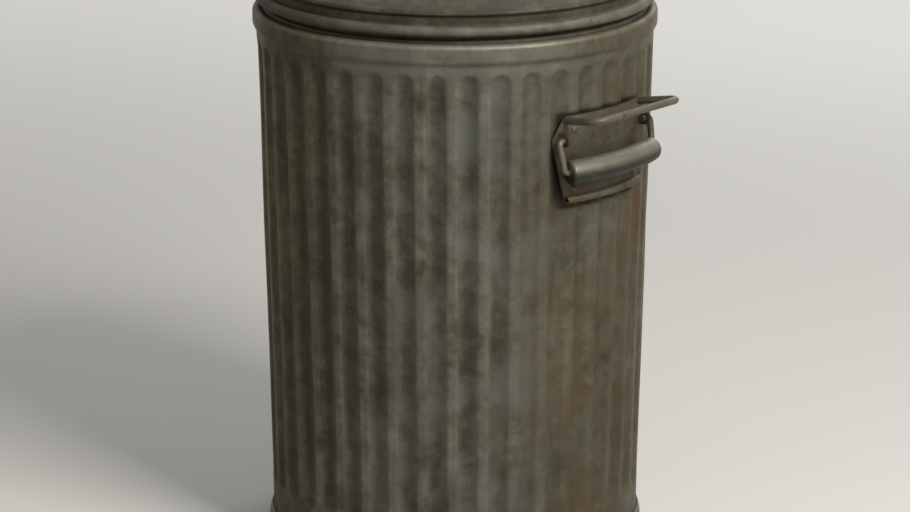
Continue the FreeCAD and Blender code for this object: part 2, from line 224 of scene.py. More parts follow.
def plateEdgeShadeAndDirt(s):
    # painted shade along the wall plate's edges, with some dirt, by distance from its outline
    def mask(tree, x, y, z, coords):
        turn = math.radians(s["offset"])
        back = product(tree, calc(tree, "ABSOLUTE", x), math.sin(turn))
        sideways = calc(tree, "SUBTRACT", product(tree, y, math.cos(turn)), back)
        flat = joinXyz(tree, 0, calc(tree, "ABSOLUTE", sideways), z)
        distance = None
        for (y0, z0), (y1, z1) in zip(s["corners"], s["corners"][1:]):
            length = math.hypot(y1 - y0, z1 - z0)
            outward = (0, -(z1 - z0) / length, (y1 - y0) / length)
            reach = calc(tree, "SUBTRACT", across(tree, flat, outward), outward[1] * y0 + outward[2] * z0)
            reach = product(tree, reach, s["level"] if y0 == 0 else s["upright"])
            distance = reach if distance is None else calc(tree, "SMOOTH_MAX", distance, reach, s["round"])
        under = product(tree, calc(tree, "SUBTRACT", s["corners"][-1][1], z), s["level"])
        distance = calc(tree, "SMOOTH_MAX", distance, under, s["round"])
        ragged = product(tree, noise(tree, coords, 90, 4, 0.6, 7), s["width"])
        edge = calc(tree, "ADD", ragged, s["width"] * s["reach"])
        near = spread(tree, distance, s["width"] * s["full"], edge, 1, 0)
        sides = spread(tree, calc(tree, "ABSOLUTE", x), *s["handleSide"])
        normal = put(tree, "ShaderNodeNewGeometry").outputs["Normal"]
        outside = spread(tree, across(tree, normal, joinXyz(tree, x, y, 0)), 0, 0.04, 0, s["amount"])
        return product(tree, near, sides, outside)  # nothing on the wall's inner face
    return mask


wallTones = ((0.0, (0.026, 0.024, 0.016)), (0.32, (0.062, 0.059, 0.041)), (0.52, (0.104, 0.100, 0.075)),
             (0.72, (0.152, 0.148, 0.119)), (1.0, (0.245, 0.238, 0.198)))
# wear and painted shade on the wall: where each fade starts and ends, then its two weights if they aren't 0 and 1
wallWearAndShade = {"crest": 0.27, "hollow": 0.13, "fluteFoot": (0.05, 0.075), "fluteHead": (0.558, 0.573, 1, 0),
            "calmRight": (0.01, 0.085, 1, 0.2), "calmLeft": (-0.21, -0.15, 0.35, 1), "collar": 0.2,
            "collarFoot": (0.565, 0.578), "collarLeft": (-0.2, -0.08, -0.5, 1), "collarRight": (0.08, 0.19, 1, 0.1),
            "leftPaintedShade": (-0.2, -0.08, -0.1, 0), "lowSide": (-0.2, -0.13, 1, 0), "lowPaintedShade": (0.08, 0.36, -0.14, 0),
            "rim": 0.16, "rimTop": (0.6, 0.603), "blotchSide": (0.02, 0.1, 0.75, 0.35), "brownSide": (0.03, 0.13),
            "warmPaintedShade": (-0.2, -0.1, 1, 0)}


def crestShift(tree, x, y, z, coords):
    # crests are rubbed pale in places and the hollows keep dirt; the pale crests are also a painted highlight and the
    # dark hollows a painted shade, both calmer on the right and at the far left
    crest, place = attributeValue(tree, "crestLevel"), across(tree, coords, photoRight)
    rubbed = spread(tree, noise(tree, coords, 30, 5, 0.62, 21), 0.36, 0.62)
    paleCrestAndHighlight = product(tree, spread(tree, crest, 0.55, 1.0), rubbed, wallWearAndShade["crest"])
    hollowDirtAndShade = product(tree, spread(tree, crest, 0.0, 0.45, 1, 0), wallWearAndShade["hollow"])
    fluted = product(tree, spread(tree, z, *wallWearAndShade["fluteFoot"]), spread(tree, z, *wallWearAndShade["fluteHead"]))
    calmer = product(tree, spread(tree, place, *wallWearAndShade["calmRight"]), spread(tree, place, *wallWearAndShade["calmLeft"]))
    return product(tree, calc(tree, "SUBTRACT", paleCrestAndHighlight, hollowDirtAndShade), fluted, calmer)


def collarShift(tree, x, y, z, coords):
    # the plain collar above the flutes is cleaner zinc; on the left it is darkened instead, as painted shade, and it
    # fades out on the right
    place = across(tree, coords, photoRight)
    uneven = spread(tree, noise(tree, coords, 12, 3, 0.5, 24), 0.3, 0.6, 0.5, 1)
    left, right = spread(tree, place, *wallWearAndShade["collarLeft"]), spread(tree, place, *wallWearAndShade["collarRight"])
    return product(tree, spread(tree, z, *wallWearAndShade["collarFoot"]), uneven, left, right, wallWearAndShade["collar"])


def leftShade(tree, x, y, z, coords):
    # painted shade: one side is darker, and more so low down
    place = across(tree, coords, photoRight)
    low = product(tree, spread(tree, place, *wallWearAndShade["lowSide"]), spread(tree, z, *wallWearAndShade["lowPaintedShade"]))
    return calc(tree, "ADD", spread(tree, place, *wallWearAndShade["leftPaintedShade"]), low)


def rimWearAndHighlight(tree, x, y, z, coords):
    # the lid rubs the top of the rim bright; the bright line is also a painted highlight along the rim's edge
    broken = spread(tree, noise(tree, coords, 34, 4, 0.6, 57), 0.3, 0.55, 0.5, 1)
    return product(tree, spread(tree, z, *wallWearAndShade["rimTop"]), broken, wallWearAndShade["rim"])


def fluteBlotches(tree, x, y, z, coords):
    # dirt that dried in the hollows, a little longer than wide
    squeeze = put(tree, "ShaderNodeMapping")
    tree.links.new(coords, squeeze.inputs["Vector"])
    squeeze.inputs["Scale"].default_value = (1, 1, 0.55)
    blotch = spread(tree, noise(tree, squeeze.outputs[0], 42, 4, 0.55, 36), 0.5, 0.68)
    hollow = spread(tree, attributeValue(tree, "crestLevel"), 0.1, 0.85, 1, 0)
    return product(tree, blotch, hollow, spread(tree, across(tree, coords, photoRight), *wallWearAndShade["blotchSide"]))


def brownSide(tree, x, y, z, coords):
    # warm staining towards the right handle's side, in soft clouds
    clouds = spread(tree, noise(tree, coords, 7, 4, 0.55, 35), 0.3, 0.6)
    return product(tree, spread(tree, across(tree, coords, photoRight), *wallWearAndShade["brownSide"]), clouds)


def warmPaintedShade(tree, x, y, z, coords):
    # painted shade: the side away from it, on the left, is made darker and yellower
    return spread(tree, across(tree, coords, photoRight), *wallWearAndShade["warmPaintedShade"])


wallFinish = zincFinish("weatheredWall", {
    "tones": wallTones, "tone": 0.5, "broad": 0.5, "patch": 0.55, "streak": 0.42, "cell": 0.12, "fine": 0.16,
    # leftShade is painted shade; crestShift, collarShift and rimWearAndHighlight are partly painted highlight and
    # shade
    "shifts": (crestShift, collarShift, leftShade, rimWearAndHighlight), "rough": (0.4, 0.66), "metal": 0.5,
    "gloss": 0.2, "bump": 0.3,
    "stainsAndPaintedLight": (
        {"mask": noiseSpots(0.46, 0.7, 9, 31, (photoRight, 0.03, 0.15)), "colour": (0.105, 0.072, 0.042)},
        {"mask": noiseSpots(0.58, 0.8, 30, 32), "colour": (0.046, 0.042, 0.028)},
        {"mask": fluteBlotches, "colour": (0.040, 0.038, 0.025)},
        {"mask": brownSide, "colour": (1.0, 0.9, 0.78), "mode": "MULTIPLY"},
        # painted shade: the left side is made darker and yellower
        {"mask": warmPaintedShade, "colour": (0.92, 0.87, 0.7), "mode": "MULTIPLY"},
        # painted sheen: pale bluish patches on the part of the wall facing the camera
        {"mask": noiseSpots(0.42, 0.62, 13, 33, (photoFront, 0.17, 0.205), 0.55), "colour": (0.152, 0.155, 0.138)},
        {"mask": heightBand(0.0, 0.03, 0.02, 0.5), "colour": (0.05, 0.042, 0.03)},
        # painted shade, with some dirt, along the wall plate's edges
        {"mask": plateEdgeShadeAndDirt(plateShape), "colour": (0.022, 0.019, 0.012)},
    )})
lidWearAndHighlight = {"edgeFoot": (0.613, 0.618), "edgeHead": (0.6235, 0.6265, 1, 0), "shaded": (-0.2, -0.04, 0.05, 0.3)}


def lidEdgeWearAndHighlight(tree, x, y, z, coords):
    # the curled edge is made bright in broken patches: rubbed wear and a painted highlight, weaker on the shaded side
    rubbed = product(tree, spread(tree, z, *lidWearAndHighlight["edgeFoot"]), spread(tree, z, *lidWearAndHighlight["edgeHead"]))
    broken = spread(tree, noise(tree, coords, 30, 4, 0.6, 55), 0.3, 0.55, 0.45, 1)
    return product(tree, rubbed, broken, spread(tree, across(tree, coords, photoRight), *lidWearAndHighlight["shaded"]))


lidFinish = zincFinish("weatheredLid", {
    "tones": wallTones, "tone": 0.33, "broad": 0.4, "patch": 0.5, "streak": 0.1, "cell": 0.14, "fine": 0.16,
    "seed": 50, "rough": (0.56, 0.74), "metal": 0.35, "gloss": 0.2, "bump": 0.25,
    # leftShade darkens the lid's left side as painted shade
    "shifts": (lidEdgeWearAndHighlight, leftShade), "stainsAndPaintedLight": (
        {"mask": noiseSpots(0.56, 0.72, 16, 61), "colour": (0.085, 0.062, 0.038)},
        # painted shade: the skirt and the curl's underside, in the gap over the rim, are darkened
        {"mask": heightBand(0.580, 0.6125, 0.002, 0.2), "colour": (0.045, 0.040, 0.027)},
        # painted shade: a dark line in the groove under the shoulder
        {"mask": heightBand(0.6325, 0.6355, 0.001, 0.7), "colour": (0.022, 0.019, 0.012)},
    )})
hoopFinish = zincFinish("scuffedHoop", {
    "tones": wallTones, "tone": 0.48, "broad": 0.4, "patch": 0.7, "streak": 0.2, "cell": 0.1, "fine": 0.2,
    "seed": 90, "rough": (0.38, 0.66), "metal": 0.55, "bump": 0.35, "stainsAndPaintedLight": (
        {"mask": noiseSpots(0.48, 0.66, 30, 91), "colour": (0.09, 0.058, 0.032)},
        {"mask": heightBand(-0.01, 0.003, 0.006, 0.6), "colour": (0.045, 0.036, 0.026)},
    )})
plateFinish = zincFinish("stainedPlate", {
    "tones": wallTones, "tone": 0.52, "broad": 0.3, "patch": 0.45, "streak": 0.3, "cell": 0.1, "fine": 0.15,
    "seed": 120, "rough": (0.42, 0.64), "metal": 0.5, "gloss": 0.15, "bump": 0.25, "stainsAndPaintedLight": (
        {"mask": noiseSpots(0.36, 0.62, 14, 121), "colour": (0.098, 0.072, 0.045)},
        {"mask": noiseSpots(0.56, 0.7, 60, 122), "colour": (0.05, 0.036, 0.022)},
    )})
rodTones = ((0.0, (0.060, 0.052, 0.034)), (0.4, (0.125, 0.114, 0.082)), (0.65, (0.190, 0.178, 0.135)),
            (1.0, (0.30, 0.285, 0.23)))
rodFinish = zincFinish("wornRod", {
    "tones": rodTones, "tone": 0.43, "broad": 0.3, "patch": 0.7, "fine": 0.25, "seed": 150, "runs": (1, 1, 1),
    "rough": (0.42, 0.64), "metal": 0.6, "bump": 0.3, "bumpDepth": 0.0006, "stainsAndPaintedLight": (
        {"mask": noiseSpots(0.54, 0.7, 70, 151), "colour": (0.085, 0.055, 0.03)},
    )})
gripTones = ((0.0, (0.085, 0.077, 0.055)), (0.4, (0.165, 0.155, 0.122)), (0.65, (0.25, 0.24, 0.205)),
             (1.0, (0.38, 0.37, 0.33)))
gripFinish = zincFinish("handWornGrip", {
    "tones": gripTones, "tone": 0.44, "broad": 0.25, "patch": 0.5, "fine": 0.15, "seed": 180, "runs": (1, 1, 1),
    "rough": (0.4, 0.58), "metal": 0.6, "gloss": 0.3, "bump": 0.2, "bumpDepth": 0.0006, "stainsAndPaintedLight": (
        # painted shade: the grip's lower half is darkened
        {"mask": heightBand(0.40, 0.4605, 0.01, 0.95), "colour": (0.028, 0.026, 0.017)},
        {"mask": noiseSpots(0.6, 0.75, 55, 181), "colour": (0.08, 0.056, 0.034)},
    )})
wireFinish = zincFinish("plainWire", {
    "tones": rodTones, "tone": 0.5, "patch": 0.5, "fine": 0.2, "seed": 210,
    "rough": (0.35, 0.55), "metal": 0.7, "bump": 0.2})
rivetFinish = zincFinish("plainRivet", {
    "tones": rodTones, "tone": 0.3, "patch": 0.6, "fine": 0.3, "seed": 240,
    "rough": (0.48, 0.68), "metal": 0.6, "bump": 0.3,
    "stainsAndPaintedLight": ({"mask": noiseSpots(0.5, 0.68, 120, 241), "colour": (0.075, 0.05, 0.03)},)})
print("finishes made")


# parts that both geometry trees share
def newTree(name, result, kinds):
    tree = bpy.data.node_groups.new(name, "GeometryNodeTree")
    tree.interface.new_socket(result, in_out="OUTPUT", socket_type="NodeSocketGeometry")
    for label, kind in kinds:
        tree.interface.new_socket(label, in_out="INPUT", socket_type="NodeSocket" + kind)
    return tree, put(tree, "NodeGroupInput").outputs


def spinProfile(tree, given):
    # a flat grid with a row for each point of the profile: gives its mesh, turn, radius and height
    profile = put(tree, "GeometryNodeObjectInfo", transform_space="ORIGINAL")
    tree.links.new(given["Profile"], profile.inputs["Object"])
    outline = profile.outputs["Geometry"]
    count = put(tree, "GeometryNodeAttributeDomainSize", component="MESH")
    tree.links.new(outline, count.inputs[0])
    rows = count.outputs["Point Count"]
    grid = put(tree, "GeometryNodeMeshGrid")
    columns = calc(tree, "ADD", given["Segments"], 1)
    for label, value in (("Size X", 1.0), ("Size Y", 1.0), ("Vertices X", columns), ("Vertices Y", rows)):
        plug(tree, grid.inputs[label], value)
    # the grid's X is the turn and its Y the place along the profile
    flat = splitXyz(tree, put(tree, "GeometryNodeInputPosition").outputs[0])
    turn = product(tree, calc(tree, "ADD", flat[0], 0.5), math.tau)
    along = product(tree, calc(tree, "ADD", flat[1], 0.5), calc(tree, "SUBTRACT", rows, 1))
    sample = put(tree, "GeometryNodeSampleIndex", data_type="FLOAT_VECTOR", domain="POINT")
    tree.links.new(outline, sample.inputs["Geometry"])
    tree.links.new(put(tree, "GeometryNodeInputPosition").outputs[0], sample.inputs["Value"])
    tree.links.new(calc(tree, "ROUND", along), sample.inputs["Index"])
    point = splitXyz(tree, sample.outputs[0])
    return grid.outputs["Mesh"], turn, point[0], point[2]


def onCircle(tree, turn, radius, height):
    return joinXyz(tree, product(tree, radius, calc(tree, "COSINE", turn)),
                   product(tree, radius, calc(tree, "SINE", turn)), height)


def moveAndWeld(tree, mesh, place):
    move = put(tree, "GeometryNodeSetPosition")
    tree.links.new(mesh, move.inputs["Geometry"])
    tree.links.new(place, move.inputs["Position"])
    weld = put(tree, "GeometryNodeMergeByDistance")
    tree.links.new(move.outputs[0], weld.inputs["Geometry"])
    plug(tree, weld.inputs["Distance"], 0.00001)
    return weld.outputs[0]


def realized(tree, geometry):
    made = put(tree, "GeometryNodeRealizeInstances")
    tree.links.new(geometry, made.inputs[0])
    return made.outputs[0]


def endTree(tree, geometry, finish):
    made = put(tree, "GeometryNodeSetMaterial")
    tree.links.new(geometry, made.inputs["Geometry"])
    tree.links.new(finish, made.inputs["Material"])
    tree.links.new(made.outputs[0], put(tree, "NodeGroupOutput").inputs[0])


# turned sheet: a closed profile spun round the axis, with pressed flutes, a lapped seam and soft dents
def turnedTree():
    tree, given = newTree("turnedSheet", "Sheet", (
        ("Profile", "Object"), ("Segments", "Int"), ("Flute Count", "Float"), ("Flute Depth", "Float"),
        ("Flute Radius", "Float"), ("Flute Foot", "Float"), ("Flute Head", "Float"), ("Crest Blend", "Float"),
        ("Dent Depth", "Float"), ("Dent Scale", "Float"), ("Dent Low", "Float"), ("Dent High", "Float"),
        ("Dent Seed", "Float"), ("Seam Angle", "Float"), ("Seam Half Width", "Float"), ("Seam Step", "Float"),
        ("Finish", "Material")))
    mesh, turn, radius, height = spinProfile(tree, given)

    # flutes: a round-ended bar of the flute's radius, sunk into the wall between two crests
    pitch = calc(tree, "DIVIDE", math.tau, given["Flute Count"])
    steps = calc(tree, "SUBTRACT", calc(tree, "DIVIDE", turn, pitch), 0.5)
    sideways = product(tree, calc(tree, "SUBTRACT", steps, calc(tree, "ROUND", steps)), pitch, radius)
    barDepth = calc(tree, "SUBTRACT", given["Flute Radius"], given["Flute Depth"])
    square = calc(tree, "POWER", given["Flute Radius"], 2)
    reach = calc(tree, "SQRT", calc(tree, "SUBTRACT", square, calc(tree, "POWER", barDepth, 2)))
    below = calc(tree, "SUBTRACT", calc(tree, "ADD", given["Flute Foot"], reach), height)
    above = calc(tree, "SUBTRACT", height, calc(tree, "SUBTRACT", given["Flute Head"], reach))
    beyond = calc(tree, "MAXIMUM", calc(tree, "MAXIMUM", below, above), 0)
    away = calc(tree, "ADD", calc(tree, "POWER", sideways, 2), calc(tree, "POWER", beyond, 2))
    sunk = calc(tree, "SQRT", calc(tree, "MAXIMUM", calc(tree, "SUBTRACT", square, away), 0))
    sunk = calc(tree, "SMOOTH_MAX", calc(tree, "SUBTRACT", sunk, barDepth), 0, given["Crest Blend"])
    sunk = product(tree, sunk, calc(tree, "GREATER_THAN", given["Flute Depth"], 0))
    depth = calc(tree, "MAXIMUM", given["Flute Depth"], 0.0001)
    crest = calc(tree, "SUBTRACT", 1, calc(tree, "DIVIDE", sunk, depth))

    # dents only go inwards, and fade out near the hoop and the rim
    hollow = put(tree, "ShaderNodeTexNoise", noise_dimensions="4D")
    for label, value in (("Vector", onCircle(tree, turn, radius, height)), ("W", given["Dent Seed"]),
                         ("Scale", given["Dent Scale"]), ("Detail", 2.0)):
        plug(tree, hollow.inputs[label], value)
    fadeIn = spread(tree, height, given["Dent Low"], calc(tree, "ADD", given["Dent Low"], 0.03))
    fadeOut = spread(tree, height, calc(tree, "SUBTRACT", given["Dent High"], 0.02), given["Dent High"], 1, 0)
    fade = product(tree, fadeIn, fadeOut)
    dent = product(tree, spread(tree, hollow.outputs[0], 0.42, 0.74), fade, given["Dent Depth"])

    # lapped seam along one crest
    offSeam = product(tree, calc(tree, "ABSOLUTE", calc(tree, "SUBTRACT", turn, given["Seam Angle"])), radius)
    lap = product(tree, calc(tree, "LESS_THAN", offSeam, given["Seam Half Width"]),
                  product(tree, given["Seam Step"], fade))
    final = calc(tree, "ADD", calc(tree, "SUBTRACT", calc(tree, "SUBTRACT", radius, sunk), dent), lap)
    final = calc(tree, "MAXIMUM", final, 0)

    keep = put(tree, "GeometryNodeStoreNamedAttribute", data_type="FLOAT", domain="POINT")
    tree.links.new(mesh, keep.inputs["Geometry"])
    keep.inputs["Name"].default_value = "crestLevel"
    tree.links.new(crest, keep.inputs["Value"])
    sheet = moveAndWeld(tree, keep.outputs[0], onCircle(tree, turn, final, height))
    endTree(tree, realized(tree, sheet), given["Finish"])
    return tree


turnedSheet = turnedTree()


def setInputs(modifier, values):
    for item in modifier.node_group.interface.items_tree:
        if item.in_out == "INPUT" and item.name in values:
            modifier[item.identifier] = values[item.name]


def bakeTree(name, tree, values):
    # run a node tree on an empty mesh and keep the result as a plain mesh object at the origin
    holder = bpy.data.objects.new(name + "Holder", bpy.data.meshes.new(name + "Holder"))
    bpy.context.scene.collection.objects.link(holder)
    modifier = holder.modifiers.new("shape", "NODES")
    modifier.node_group = tree
    setInputs(modifier, values)
    graph = bpy.context.evaluated_depsgraph_get()
    graph.update()
    solved = holder.evaluated_get(graph)
    mesh = bpy.data.meshes.new_from_object(solved, preserve_all_data_layers=True, depsgraph=graph)
    holder.modifiers.remove(modifier)
    bpy.data.objects.remove(holder)
    return finishMesh(name, mesh)


def finishMesh(name, mesh, sharp=40, recalc=True):
    work = bmesh.new()
    work.from_mesh(mesh)
    if recalc:
        bmesh.ops.recalc_face_normals(work, faces=work.faces)
    limit = math.radians(sharp)
    for edge in work.edges:
        edge.smooth = edge.calc_face_angle(0) < limit
    for item in work.faces:
        item.smooth = True
    work.to_mesh(mesh)
    work.free()
    mesh.name = name
    piece = bpy.data.objects.new(name, mesh)
    bpy.context.scene.collection.objects.link(piece)
    return piece


def arcPoints(centre, radius, start, sweep, steps):
    points = []
    for index in range(steps + 1):
        angle = math.radians(start + sweep * index / steps)
        points.append((centre[0] + radius * math.cos(angle), centre[1] + radius * math.sin(angle)))
    return points


def linePoints(start, end, steps):
    run, rise = end[0] - start[0], end[1] - start[1]
    return [(start[0] + run * i / steps, start[1] + rise * i / steps) for i in range(steps + 1)]


def turnedPiece(name, outline, values):
    # outline: (radius, height) pairs in millimetres; the loop is closed unless it ends on the axis
    loop = [outline[0]]
    for point in outline[1:]:
        if math.dist(point, loop[-1]) > 0.02:
            loop.append(point)
    if loop[0][0] > 0.001:
        loop.append(loop[0])
    mesh = bpy.data.meshes.new(name + "Profile")
    mesh.from_pydata([(r * mm, 0, h * mm) for r, h in loop], [], [])
    profile = bpy.data.objects.new(name + "Profile", mesh)
    bpy.context.scene.collection.objects.link(profile)
    base = {"Profile": profile, "Segments": 288, "Flute Count": 1.0, "Flute Depth": 0.0, "Flute Radius": 0.02,
            "Flute Foot": 0.0, "Flute Head": 0.0, "Crest Blend": 0.0, "Dent Depth": 0.0, "Dent Scale": 6.0,
            "Dent Low": 0.0, "Dent High": 1.0, "Dent Seed": 0.0, "Seam Angle": 0.0,
            "Seam Half Width": 0.0, "Seam Step": 0.0}
    piece = bakeTree(name, turnedSheet, {**base, **values})
    bpy.data.objects.remove(profile)
    print("turned", name, len(piece.data.polygons), "faces")
    return piece


# can wall: tapered, fluted, its top edge curled round the rim wire
wall = {"height": 606.0, "mouth": 220.0, "base": 207.5, "sheet": 0.9, "low": 1.2, "foot": 60.0, "head": 573.0,
        "collarStart": 576.5, "collarFoot": 579.0, "flare": 4.0, "flareHeight": 11.0, "curl": 5.9, "curlTurn": 290,
        "segments": 640, "seamAngle": 288.0}


def wallRadius(height):
    return wall["base"] + (wall["mouth"] - wall["base"]) * height / wall["height"]


def wallOutline(s):
    ends = (-1.5, 0, 1.4, 2.6, 3.8, 5.2, 7, 9, 11.5, 14)
    heights = [s["low"], 14, 28, 44, 54] + [s["foot"] + step for step in ends]
    first, last = s["foot"] + ends[-1], s["head"] - ends[-1]
    heights += [first + (last - first) * i / 15 for i in range(1, 15)]
    heights += [s["head"] - step for step in reversed(ends)] + [s["collarStart"], s["collarFoot"]]
    skin = [(wallRadius(h), h) for h in heights]
    # S-bend, upright collar and the curl round the wire, then the same way back inside
    sheet, foot = s["sheet"], (wallRadius(s["collarFoot"]), s["collarFoot"])
    bend = 2 * math.atan(s["flare"] / s["flareHeight"])
    bendRadius, turn = s["flareHeight"] / (2 * math.sin(bend)), math.degrees(bend)
    face = (foot[0] + s["flare"], foot[1] + s["flareHeight"])
    low, high = (foot[0] + bendRadius, foot[1]), (face[0] - bendRadius, face[1])
    ring = (face[0] - s["curl"], s["height"] - s["curl"])
    outside = arcPoints(low, bendRadius, 180, -turn, 8) + arcPoints(high, bendRadius, -turn, turn, 8)
    outside += [(face[0], face[1] + 5)] + arcPoints(ring, s["curl"], 0, s["curlTurn"], 26)
    inside = arcPoints(ring, s["curl"] - sheet, s["curlTurn"], -s["curlTurn"], 16)
    inside += arcPoints(high, bendRadius - sheet, 0, -turn, 5)
    inside += arcPoints(low, bendRadius + sheet, 180 - turn, turn, 5)
    return skin + outside + inside + [(r - sheet, h) for r, h in reversed(skin)]


canWall = turnedPiece("canWall", wallOutline(wall), {
    "Segments": wall["segments"], "Flute Count": 40.0, "Flute Depth": 4.2 * mm, "Flute Radius": 18.0 * mm,
    "Flute Foot": wall["foot"] * mm, "Flute Head": wall["head"] * mm, "Crest Blend": 1.9 * mm,
    "Dent Depth": 1.2 * mm, "Dent Scale": 7.0, "Dent Low": 0.035, "Dent High": 0.577, "Dent Seed": 4.0,
    "Seam Angle": math.radians(wall["seamAngle"]), "Seam Half Width": 4.2 * mm, "Seam Step": 0.5 * mm,
    "Finish": wallFinish})
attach(canWall, "can")
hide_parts("body_shell")


# foot band with a flared waist and a lip turned in under the wall
hoop = {"radius": 213.0, "height": 25.0, "sheet": 1.2, "corner": 4.5, "waist": 9.0, "lipEnd": 200.5, "gap": 0.1}


def hoopOutline(s):
    top = wallRadius(s["height"]) + s["gap"] + s["sheet"]
    inset, rise = s["radius"] - top, s["height"] - s["waist"]
    sweep = (inset ** 2 + rise ** 2) / (2 * inset)
    flare = math.degrees(math.asin(rise / sweep))
    corner = (s["radius"] - s["corner"], s["corner"])
    centre = (s["radius"] - sweep, s["waist"])
    outer = linePoints((s["lipEnd"], 0), (corner[0], 0), 4) + arcPoints(corner, s["corner"], -90, 90, 8)
    outer += linePoints((s["radius"], s["corner"]), (s["radius"], s["waist"]), 2)
    outer += arcPoints(centre, sweep, 0, flare, 10)
    inner = arcPoints(centre, sweep - s["sheet"], flare, -flare, 10) + [(s["radius"] - s["sheet"], s["corner"])]
    inner += arcPoints(corner, s["corner"] - s["sheet"], 0, -90, 6) + [(s["lipEnd"], s["sheet"])]
    return outer + inner


footBand = turnedPiece("footBand", hoopOutline(hoop), {"Segments": 240, "Finish": hoopFinish})
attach(footBand, "can")
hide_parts("base_hoop")


# pressed bottom, its flange turned down inside the wall
pan = {"height": 16.0, "rise": 5.0, "riseRadius": 150.0, "slope": 15.0, "corner": 5.0, "sheet": 0.9, "low": 1.2,
       "gap": 0.1}


def panOutline(s):
    rim = wallRadius(s["low"]) - wall["sheet"] - s["gap"]
    crown, start, end = s["height"] + s["rise"], s["riseRadius"], s["riseRadius"] + s["slope"]
    pressed = [(0, crown), (start * 0.5, crown), (start - 2, crown), (start, crown - 0.4), (start + 2, crown - 1.0),
               (end - 2, s["height"] + 0.6), (end, s["height"] + 0.2), (end + 3, s["height"])]
    corner = (rim - s["corner"], s["height"] - s["corner"])
    upper = pressed + arcPoints(corner, s["corner"], 90, -90, 6) + [(rim, s["low"])]
    lower = [(rim - s["sheet"], s["low"])] + arcPoints(corner, s["corner"] - s["sheet"], 0, 90, 6)
    return upper + lower + [(r, h - s["sheet"]) for r, h in reversed(pressed)]


bottomPan = turnedPiece("bottomPan", panOutline(pan), {"Segments": 144, "Finish": wallFinish})
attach(bottomPan, "can")
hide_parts("bottom_pan")


# lid: flat crown, shallow dome, shoulder over a groove, and an edge curled round its wire
rimRing = wallRadius(wall["collarFoot"]) + wall["flare"] - wall["curl"]  # radius of the rim wire's circle
lid = {"crown": 660.0, "crownRadius": 68.0, "sheet": 0.9, "wall": rimRing - 8.6, "wallFoot": 626.0,
       "shoulder": 2.5, "shoulderTop": 639.0, "groove": 2.0, "grooveTurn": 50, "ring": rimRing - 2.6,
       "ringHeight": 619.0, "curl": 6.0, "curlTurn": 310}


def lidOutline(s):
    tuck, both, sheet = math.radians(s["grooveTurn"]), s["shoulder"] + s["groove"], s["sheet"]
    bend = (s["wall"] + s["groove"] - both * math.cos(tuck), s["shoulderTop"] - s["shoulder"])
    groove = (s["wall"] + s["groove"], bend[1] - both * math.sin(tuck))
    run, fall = bend[0] - s["crownRadius"], s["crown"] - bend[1]
    dome = (run ** 2 + fall ** 2 - s["shoulder"] ** 2) / (2 * (fall - s["shoulder"]))
    slope = math.degrees(math.asin(run / (dome - s["shoulder"])))
    centre, ring, top = (s["crownRadius"], s["crown"] - dome), (s["ring"], s["ringHeight"]), s["crown"] + sheet
    over = 90 - slope + s["grooveTurn"]
    outer = linePoints((0, top), (s["crownRadius"], top), 5) + arcPoints(centre, dome + sheet, 90, -slope, 16)
    outer += arcPoints(bend, s["shoulder"] + sheet, 90 - slope, -over, 12)
    outer += arcPoints(groove, s["groove"] - sheet, 180 - s["grooveTurn"], s["grooveTurn"], 6)
    outer += [(s["wall"] + sheet, s["wallFoot"])] + arcPoints(ring, s["curl"] - sheet, 180, s["curlTurn"], 24)
    inner = arcPoints(ring, s["curl"], 180 + s["curlTurn"], -s["curlTurn"], 32) + [(s["wall"], s["wallFoot"])]
    inner += arcPoints(groove, s["groove"], 180, -s["grooveTurn"], 6)
    inner += arcPoints(bend, s["shoulder"], -s["grooveTurn"], over, 10)
    inner += arcPoints(centre, dome, 90 - slope, slope, 16) + [(s["crownRadius"] / 2, s["crown"]), (0, s["crown"])]
    return outer + inner


lidCover = turnedPiece("lidCover", lidOutline(lid), {"Segments": 360, "Finish": lidFinish})
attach(lidCover, "lid")
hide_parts("lid_cover")


# plug ring under the lid, with the bead that sits on the can's rim
skirt = {"radius": rimRing - 8.7, "top": 630.0, "bead": 605.42, "beadRadius": 4.0, "straight": 597.0,
         "low": 582.0, "taper": 3.5, "sheet": 0.9}


def skirtOutline(s):
    bead = (s["radius"], s["bead"])
    outer = [(s["radius"], s["top"])] + arcPoints(bead, s["beadRadius"], 90, -180, 14)
    outer += [(s["radius"], s["straight"]), (s["radius"] - s["taper"], s["low"])]
    inner = [(s["radius"] - s["taper"] - s["sheet"], s["low"]), (s["radius"] - s["sheet"], s["straight"])]
    inner += arcPoints(bead, s["beadRadius"] - s["sheet"], -90, 180, 12) + [(s["radius"] - s["sheet"], s["top"])]
    return outer + inner


lidSkirt = turnedPiece("lidSkirt", skirtOutline(skirt), {"Segments": 288, "Finish": lidFinish})
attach(lidSkirt, "lid")
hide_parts("lid_skirt")


# smooth copies of the CAD pieces whose shape is already right
def smoothCopy(node, name, finish, body, sharp=32):
    mesh = nodes[node].data.copy()
    work = bmesh.new()
    work.from_mesh(mesh)
    bmesh.ops.remove_doubles(work, verts=work.verts, dist=0.00002)
    work.to_mesh(mesh)
    work.free()
    piece = finishMesh(name, mesh, sharp, recalc=False)
    mesh.materials.clear()
    mesh.materials.append(finish)
    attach(piece, body)
    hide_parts(node)


for side in ("right", "left"):
    smoothCopy(side + "_handle_plate", side + "HandlePlate", plateFinish, "can")
    smoothCopy(side + "_stop_loop", side + "StopLoop", rodFinish, "can")
    smoothCopy(side + "_bail", side + "Bail", rodFinish, side + "_bail")
    smoothCopy(side + "_grip", side + "Grip", gripFinish, side + "_bail")
smoothCopy("lid_handle", "lidStrap", rodFinish, "lid")
for node in ("rim_wire", "lid_rim_wire"):
    nodes[node].data.materials.clear()
    nodes[node].data.materials.append(wireFinish)
print("handles dressed")


